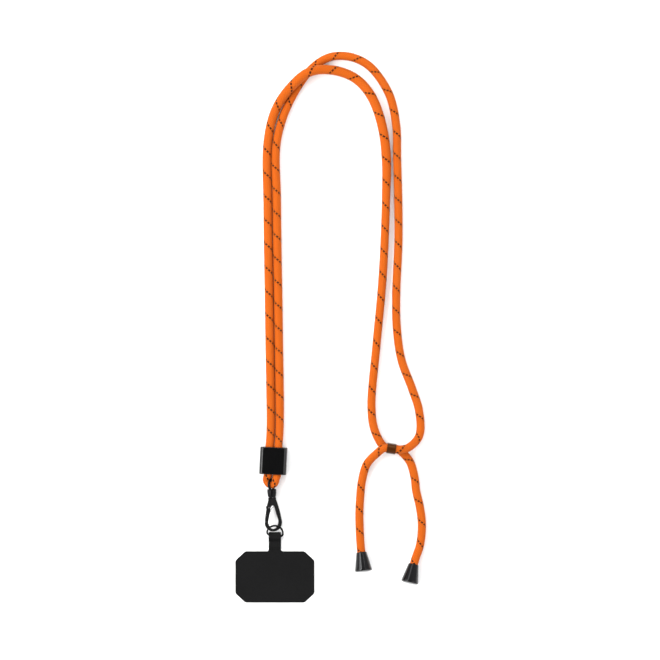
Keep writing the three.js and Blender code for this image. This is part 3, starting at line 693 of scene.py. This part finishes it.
BAND_LENGTH = 6.8
BAND_BORE_R = 3.42
BAND_WALL = 0.5
BAND_EDGE = 0.2


def stadium(half, radius):
    return arc((half, 0), radius, -90, 90, 32) + arc((-half, 0), radius, 90, 270, 32)


def add_band():
    low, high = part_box("slider_band")
    along = joint_axis("slider_slide")
    up = Vector((0, 0, 1))
    half = 500 * (HIGH_Z - LOW_Z)
    outlines = [stadium(half, BAND_BORE_R + BAND_WALL), stadium(half, BAND_BORE_R)]
    sleeve = slab(outlines, BAND_LENGTH, BAND_EDGE)
    at = place((low + high) / 2, up, along.cross(up) * -1, along)
    piece("slider_sleeve", sleeve, at, BAND_BROWN, "slider", "band", "slider_band")


add_band()


# Bell ends, drawn about +Y from the rope's side at y = 0 to the lid

BELL_LENGTH = 14.4
BELL_NARROW_R = 3.85
BELL_WIDE_R = 6.5
BELL_MOUTH_R = 3.45
BELL_MOUTH_LENGTH = 3
BELL_INNER_R = 5.4
BELL_SEAT = 3
LID_THICKNESS = 1.5
LID_DOME = 0.5
LID_FIT = 0.05  # all round, in its seat
LID_STEP = 0.1  # of the dome's edge below the rim
KNOT_CENTRE = 9.6
KNOT_R = 4.0
KNOT_HALF_LENGTH = 2.6
KNOT_LOBES = 7
KNOT_DENT = 0.25


def bell_profile():
    corners = [(BELL_NARROW_R, 0), (BELL_WIDE_R, BELL_LENGTH - 1.1), (BELL_WIDE_R, BELL_LENGTH),
               (BELL_INNER_R, BELL_LENGTH), (BELL_INNER_R, BELL_LENGTH - BELL_SEAT),
               (BELL_MOUTH_R, BELL_MOUTH_LENGTH), (BELL_MOUTH_R, 0)]
    return bend_round(corners, [0.45, 1.5, 0.75, 0.15, 0.2, 0.3, 0.12], 8)


def lid_profile():
    low = BELL_LENGTH - LID_THICKNESS
    edge = BELL_INNER_R - LID_FIT
    dome = [Vector((edge * math.cos(a), BELL_LENGTH + LID_DOME * math.sin(a) ** 0.8))
            for a in np.radians(np.linspace(8, 90, 14))]
    return [Vector((0, low)), Vector((edge, low)), Vector((edge, BELL_LENGTH - LID_STEP))] + dome


def knot_shape():
    """The lump that the rope's end is pressed into."""
    shape = bmesh.new()
    upright = Matrix.Rotation(math.pi / 2, 4, "X")
    bmesh.ops.create_uvsphere(shape, u_segments=72, v_segments=36, radius=1, matrix=upright)
    for vertex in shape.verts:
        x, y, z = vertex.co
        lobe = 1 - KNOT_DENT * (0.5 + 0.5 * math.cos(KNOT_LOBES * math.atan2(z, x) + 4 * y)) * (1 - y * y)
        vertex.co = (x * KNOT_R * lobe, KNOT_CENTRE + y * KNOT_HALF_LENGTH, z * KNOT_R * lobe)
    return shape


def add_bell(side):
    knot = centroid("rope_knot_" + side)
    along = unit(centroid("end_cap_lid_" + side) - knot)
    across = along.cross(Vector((0, 0, 1))).normalized()
    at = place(knot - along * (KNOT_CENTRE * MM), across, along, across.cross(along))
    piece("bell_" + side, lathe(bell_profile()), at, BELL_BLACK, "rigging", "bell", "end_cap_" + side)
    piece("bell_lid_" + side, lathe(lid_profile()), at, BELL_BLACK, "rigging", "bell", "end_cap_lid_" + side)
    piece("rope_end_" + side, knot_shape(), at, KNOT, "rigging", "rope", "rope_knot_" + side)


def knot_fibres():
    made, tree, shader = material("rope_end_fibres", Roughness=0.7, Sheen_Weight=0.2)
    strands = noise(tree, 1500.0, 4.0)
    tree.links.new(mixed(tree, strands, ORANGE_SHADE_AND_DARK_FIBRE, ORANGE), shader.inputs["Base Color"])
    bumped(tree, shader, strands, 0.0002, 0.6)
    return made


KNOT = knot_fibres()
for side in ("left", "right"):
    add_bell(side)


# Swivel eye, drawn from the crown of its ring, with its collar below on -Y

EYE_WIRE_R = 0.9
EYE_R = 3.9
COLLAR_TOP = 7.15
COLLAR_LENGTH = 6.0
COLLAR_TOP_R = 3.45
COLLAR_BASE_R = 3.05
RIVET_HEAD_R = 1.8
RIVET_SEAT = 1.8
RIVET_R = 1.0
CLEARANCE = 0.3


def collar_profile():
    base = COLLAR_TOP + COLLAR_LENGTH
    corners = [(0, -base), (COLLAR_BASE_R, -base), (COLLAR_TOP_R, -COLLAR_TOP - COLLAR_LENGTH / 2),
               (COLLAR_TOP_R, -COLLAR_TOP), (0, -COLLAR_TOP)]
    rounded = bend_round(corners, [0.01, 0.6, 2.0, 0.7, 0.01], 6)
    return [Vector((max(p.x, 0), p.y)) for p in rounded]


def rod(radius, low, high):
    """A cylinder along +Y, centred on the origin, and the height that its centre belongs at."""
    return turned(post(radius, high - low), 90, "X"), (low + high) / 2


def add_eye():
    wire = moved(ring(EYE_R, EYE_WIRE_R), 0, -EYE_R, 0)
    hollow, middle = rod(RIVET_HEAD_R + CLEARANCE, -COLLAR_TOP - RIVET_SEAT, -COLLAR_TOP + RIVET_SEAT)
    bore, centre = rod(RIVET_R + CLEARANCE, -COLLAR_TOP - COLLAR_LENGTH - 1, -COLLAR_TOP - RIVET_SEAT + 0.5)
    shape = combined(lathe(collar_profile()), "UNION", wire)
    shape = combined(shape, "DIFFERENCE", moved(hollow, 0, middle, 0), moved(bore, 0, centre, 0))
    at = place(CROWN, EYE_ACROSS, SWIVEL_UP, EYE_NORMAL)
    piece("eye_and_collar", shape, at, GUN_BLACK, "eye", "hook", "swivel_eye")


add_eye()


# Hook, drawn from the centre of its round bottom: x across, y up the swivel's axis

HOOK_THICKNESS = 2.2
HOOK_EDGE = 0.75
HOOK_HALF = 7.3
HOOK_DEPTH = 6.9
NECK_HALF = 3.2
NECK_V = (CROWN - HOOK_BEND).length / MM - COLLAR_TOP - COLLAR_LENGTH - CLEARANCE
SHOULDER_V = NECK_V - 2
ARM_BULGE = (6.1, 9.5)
HOLE_APEX_V = 13
HOLE_SHOULDER = (1.7, 11.6)
HOLE_HALF = 4.7
HOLE_WAIST_V = 1
HOLE_DEPTH = 5.9
PIVOT = (-3.75, 11.6)
KNUCKLE_R = 1.6
KNUCKLE_DROP = 1
KNUCKLE_EDGE = 0.35
KNUCKLE_SIDES = 48
TONGUE_R = 1.3
TONGUE_THICKNESS = 1.0
TONGUE = [(-0.9, 0), (0.9, 0), (2, 3.2), (0.5, 3.2)]
PIN_R = 0.5
NOSE_V = 0.95
NOSE_GAP = 0.15
LATCH_WIDTH = 0.95
LATCH_LENGTH = 1.4
RIVET_GRIP = 3.4
RUNNING = 0.05
HOOK_FAR = 10  # past the hook's edges
GATE_INSIDE = 2  # from the hole's widest place, clear of the arm
NECK_CORNER_R = 0.5
NECK_STEPS = 4  # round each corner of the neck's top
WASHER_R = 2.6
WASHER_THICKNESS = 0.24
WASHER_EDGE = 0.08


def hook_outline():
    bulge_x, bulge_v = ARM_BULGE
    left = bezier((-NECK_HALF, SHOULDER_V), (-bulge_x, bulge_v), (-HOOK_HALF, 0), 24)
    right = bezier((HOOK_HALF, 0), (bulge_x, bulge_v), (NECK_HALF, SHOULDER_V), 24)
    bottom = arc((0, 0), (HOOK_HALF, HOOK_DEPTH), 180, 360, 48)[1:-1]
    block = [(NECK_HALF, NECK_V), (-NECK_HALF, NECK_V), (-NECK_HALF, 0), (NECK_HALF, 0)]
    neck = bend_round(block, [NECK_CORNER_R] * 4, NECK_STEPS)[:2 * (NECK_STEPS + 1)]
    return neck + left + bottom + right


def hook_hole():
    x, v = HOLE_SHOULDER
    crown = bezier((-x, v), (0, 2 * HOLE_APEX_V - v), (x, v), 12)
    return crown + arc((0, HOLE_WAIST_V), (HOLE_HALF, HOLE_DEPTH), 0, -180, 40)


def hook_plate():
    return slab([hook_outline(), hook_hole()], HOOK_THICKNESS, HOOK_EDGE)


def gate_region(low, latch, top, margin):
    """The gate's share of the left arm, cut well past the edges."""
    edge = -HOLE_HALF - LATCH_WIDTH - margin
    inside = GATE_INSIDE - HOLE_HALF
    outline = [(-HOOK_FAR, low), (edge, low), (edge, latch), (inside, latch), (0, top), (-HOOK_FAR, top)]
    return slab([outline], 2 * HOOK_THICKNESS, 0)


def at_pivot(radius, length):
    return post(radius, length, *PIVOT)


def hook_body():
    tongue = slab([[(x + PIVOT[0], v + PIVOT[1]) for x, v in TONGUE]], TONGUE_THICKNESS, 0)
    hole, centre = rod(RIVET_R + RUNNING, NECK_V - RIVET_GRIP - CLEARANCE, NECK_V + CLEARANCE)
    shape = combined(hook_plate(), "DIFFERENCE",
                     gate_region(NOSE_V, NOSE_V - LATCH_LENGTH - NOSE_GAP, PIVOT[1], NOSE_GAP),
                     at_pivot(KNUCKLE_R + NOSE_GAP, 2 * HOOK_THICKNESS))
    shape = combined(shape, "UNION", at_pivot(TONGUE_R, TONGUE_THICKNESS), tongue)
    pin_hole = at_pivot(PIN_R + RUNNING, 2 * HOOK_THICKNESS)
    return combined(shape, "DIFFERENCE", pin_hole, moved(hole, 0, centre, 0))


def knuckle():
    """The gate's round end, with rounded edges."""
    outline = arc((0, 0), KNUCKLE_R, 0, 360 - 360 / KNUCKLE_SIDES, KNUCKLE_SIDES - 1)
    return moved(slab([outline], HOOK_THICKNESS, KNUCKLE_EDGE), PIVOT[0], PIVOT[1], 0)


def hook_gate():
    region = gate_region(NOSE_V + NOSE_GAP, NOSE_V - LATCH_LENGTH, PIVOT[1] - KNUCKLE_DROP, 0)
    shape = combined(hook_plate(), "INTERSECT", region)
    shape = combined(shape, "UNION", knuckle())
    return combined(shape, "DIFFERENCE", at_pivot(KNUCKLE_R + CLEARANCE, TONGUE_THICKNESS + 2 * CLEARANCE),
                    at_pivot(PIN_R + RUNNING, 2 * HOOK_THICKNESS))


def washer():
    """The thin ring on the rivet between the collar and the hook's neck."""
    low = NECK_V + (CLEARANCE - WASHER_THICKNESS) / 2
    high = low + WASHER_THICKNESS
    hole = RIVET_R + RUNNING
    corners = [(WASHER_R, low), (WASHER_R, high), (hole, high), (hole, low)]
    return lathe(bend_round(corners, [WASHER_EDGE] * 4, 3))


def add_hook():
    at = place(HOOK_BEND, HOOK_ACROSS, SWIVEL_UP, HOOK_NORMAL)
    piece("hook", hook_body(), at, GUN_BLACK, "hook", "hook", "hook_body")
    piece("gate", hook_gate(), at, GUN_BLACK, "gate", "hook", "hook_gate")
    piece("swivel_washer", washer(), at, GUN_BLACK, "hook", "hook")
    for name in ("swivel_rivet", "gate_pin", "gate_spring"):
        data = frame["nodes"][name].data
        data.materials.clear()
        data.materials.append(STEEL)


add_hook()


# D-ring, drawn from the middle of its bar and bent from one wire whose ends butt there

RING_PITCH = math.radians(22)
RING_WIRE_R = 0.72
RING_R = 6.05
RING_CORNER_R = 2.4
RING_BUTT = 0.08
RING_STEP = 0.3
RING_SIDES = 24


def ring_path():
    side = RING_R - RING_CORNER_R
    points = [Vector((RING_BUTT / 2, 0))]
    points += arc((side, RING_CORNER_R), RING_CORNER_R, -90, 0, 14)
    points += arc((0, RING_CORNER_R), RING_R, 0, 180, 60)[1:]
    points += arc((-side, RING_CORNER_R), RING_CORNER_R, 180, 270, 14)[1:]
    points.append(Vector((-RING_BUTT / 2, 0)))
    return points


def add_d_ring():
    along = joint_axis("patch_fold")
    level = Vector((0, 0, 1)).cross(along)
    up = Matrix.Rotation(RING_PITCH, 3, along) @ level
    points, run = even(np.array([(p.x, p.y, 0) for p in ring_path()]), RING_STEP)
    data = tube_mesh("wire", points, run, RING_WIRE_R, RING_SIDES)
    shape = bmesh.new()
    shape.from_mesh(data)
    bpy.data.meshes.remove(data)
    piece("ring", shape, place(BAR, along, up, along.cross(up)), GUN_BLACK, "ring", "hook", "d_ring")


add_d_ring()


# Phone patch: one flat sheet whose tab is folded back over the D-ring's bar and bonded down

PATCH_WIDTH = 60
PATCH_LENGTH = 39
PATCH_CHAMFER = (7.6, 7)
PATCH_CORNER_R = 3.0
PATCH_THICKNESS = 0.8
TAB_WIDTH = 9.4
TAB_ROOT_R = 1.3
TAB_END_R = 0.8
POCKET_R = 1.2
POCKET_LENGTH = 1.9
POCKET_CREST = 34.2
FLAP_LOW = 22.9
FLAP_SKIVE = 2.2
FLAP_THINNING = 0.8  # share of the thickness taken off at the flap's end
FLAP_SWEEP = 4
FOLD_START = 4  # below the pocket's crest
FOLD_STEP = 0.25
EDGE_LOOPS = [(0.3, -0.4), (0.1, -0.34), (0, -0.2), (0, 0.2), (0.1, 0.34), (0.3, 0.4)]  # inset, then height
BORDER_LOOPS = [(1.1, 0.4), (1.35, 0.3), (1.6, 0.3), (1.85, 0.37)]


def fold_path():
    """The tab's middle surface, seen from the side: y and z, and the length along the sheet at each point."""
    layer = PATCH_THICKNESS / 2
    radius = POCKET_R + layer
    crest = POCKET_CREST - POCKET_R - PATCH_THICKNESS
    heel = crest - POCKET_LENGTH
    foot = heel - FLAP_SWEEP
    top = layer + 2 * radius
    low = 3 * layer
    t = np.linspace(0, 1, 40)[:, None]
    first, last = np.array((heel, top)), np.array((foot, low))
    near, far = np.array((heel - FLAP_SWEEP / 2, top)), np.array((heel - FLAP_SWEEP / 2, low))
    sweep = first * (1 - t) ** 3 + 3 * near * t * (1 - t) ** 2 + 3 * far * t * t * (1 - t) + last * t ** 3
    turn = [tuple(p) for p in arc((crest, layer + radius), radius, -90, 90, 40)]
    root, end = (PATCH_LENGTH / 2, layer), (FLAP_LOW - FLAP_SKIVE, low)
    path = np.array([root] + turn + [tuple(p) for p in sweep] + [end])
    length = np.concatenate([[0], np.cumsum(np.linalg.norm(np.diff(path, axis=0), axis=1))])
    return path, PATCH_LENGTH / 2 + length


def patch_corners(tab_end):
    half, low, high, tab = PATCH_WIDTH / 2, -PATCH_LENGTH / 2, PATCH_LENGTH / 2, TAB_WIDTH / 2
    cut_x, cut_y = PATCH_CHAMFER
    right = [(half - cut_x, low), (half, low + cut_y), (half, high - cut_y), (half - cut_x, high),
             (tab, high), (tab, tab_end)]
    corners = right + [(-x, y) for x, y in reversed(right)]
    radii = [PATCH_CORNER_R] * 4 + [TAB_ROOT_R, TAB_END_R]
    return corners, radii + radii[::-1]


def patch_flat(corners, radii):
    """The sheet before it is folded, centred on z = 0, with a pressed line round its upper side."""
    shape = bmesh.new()
    loops = []
    for inset, height in EDGE_LOOPS + BORDER_LOOPS:
        loops.append([shape.verts.new((p.x, p.y, height)) for p in bend_round(corners, radii, 6, inset)])
    for low, high in zip(loops, loops[1:]):
        for i in range(len(low)):
            j = (i + 1) % len(low)
            shape.faces.new((low[i], low[j], high[j], high[i]))
    shape.faces.new(loops[0][::-1])
    shape.faces.new(loops[-1])
    return shape


def folded(shape, path, length):
    """Bends the sheet along the path, and thins the end of its flap."""
    middle = PATCH_LENGTH / 2
    normal = np.gradient(path, length, axis=0)
    normal /= np.linalg.norm(normal, axis=1)[:, None]
    for vertex in shape.verts:
        x, s, height = vertex.co
        if s <= middle:
            vertex.co = (x, s, height + PATCH_THICKNESS / 2)
            continue
        skive = min(max((s - length[-1] + FLAP_SKIVE) / FLAP_SKIVE, 0), 1)
        height = PATCH_THICKNESS / 2 - (PATCH_THICKNESS / 2 - height) * (1 - FLAP_THINNING * skive)
        y, z, along_y, along_z = (np.interp(s, length, column) for column in (*path.T, *normal.T))
        vertex.co = (x, y - along_z * height, z + along_y * height)


def add_patch():
    path, length = fold_path()
    corners, radii = patch_corners(length[-1])
    shape = patch_flat(corners, radii)
    for s in np.arange(POCKET_CREST - FOLD_START, length[-1], FOLD_STEP):
        geometry = shape.verts[:] + shape.edges[:] + shape.faces[:]
        bmesh.ops.bisect_plane(shape, geom=geometry, plane_co=(0, s, 0), plane_no=(0, 1, 0))
    bmesh.ops.triangulate(shape, faces=shape.faces)
    folded(shape, path, length)
    axes = Matrix.Identity(3)
    at = place(Vector((0, 0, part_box("phone_patch")[0].z)), *axes)
    patch = piece("patch", shape, at, PATCH, "patch", "patch", "phone_patch", smooth=25)


add_patch()


# Stage

def add_floor():
    bpy.ops.mesh.primitive_plane_add(size=12)
    floor = bpy.context.object
    floor.name = "floor"
    made, tree, shader = material("floor_paper", Roughness=0.9, Specular_IOR_Level=0.1)
    tone = ranged(tree, noise(tree, 3.0), 0.3, 0.7, 0.93, 0.95)
    grey = node(tree, "CombineColor", {0: tone, 1: tone, 2: tone}).outputs[0]
    tree.links.new(grey, shader.inputs["Base Color"])
    floor.data.materials.append(made)


AIM = Vector((0.04, 0.19, 0))  # of every light, the middle of the lanyard
SKY = [(0.1, 0.7), (0.4, 0.9), (0.75, 0.8), (0.92, 0.1)]  # height, then brightness


def add_softbox(name, place_at, size, energy, reflected=True):
    data = bpy.data.lights.new(name, "AREA")
    data.shape = "RECTANGLE"
    data.size, data.size_y = size
    data.energy = energy
    lamp = bpy.data.objects.new(name, data)
    lamp.location = place_at
    lamp.rotation_euler = (AIM - Vector(place_at)).to_track_quat("-Z", "Y").to_euler()
    lamp.visible_camera = False
    lamp.visible_glossy = reflected
    scene.collection.objects.link(lamp)


def add_world():
    """A bright horizon and a dark zenith."""
    world = bpy.data.worlds.new("world")
    world.use_nodes = True
    tree = world.node_tree
    where = node(tree, "TexCoord").outputs["Generated"]
    height = node(tree, "SeparateXYZ", {0: where}).outputs[2]
    ramp = node(tree, "ValToRGB", {0: height})
    stops = ramp.color_ramp.elements
    while len(stops) < len(SKY):
        stops.new(1.0)
    for stop, (at, tone) in zip(stops, SKY):
        stop.position = at
        stop.color = (tone, tone, tone, 1)
    tree.links.new(ramp.outputs[0], tree.nodes["Background"].inputs["Color"])
    scene.world = world


def light_stage():
    """Soft light, mostly from the left. The one overhead lights the rope and the floor but isn't mirrored."""
    add_floor()
    add_world()
    add_softbox("key", (-0.95, 0.3, 1.3), (1.6, 0.3), 16)
    add_softbox("broad", (-1.9, 0.4, 1.5), (2.4, 1.6), 46)
    add_softbox("over", (0.0, 0.25, 1.9), (1.4, 1.4), 9, reflected=False)
    add_softbox("back", (0.1, 1.5, 1.2), (1.6, 0.5), 14)
    add_softbox("fill", (1.5, -0.4, 1.4), (2.0, 2.0), 20)
    scene.view_settings.view_transform = "Standard"


light_stage()

bpy.context.view_layer.update()
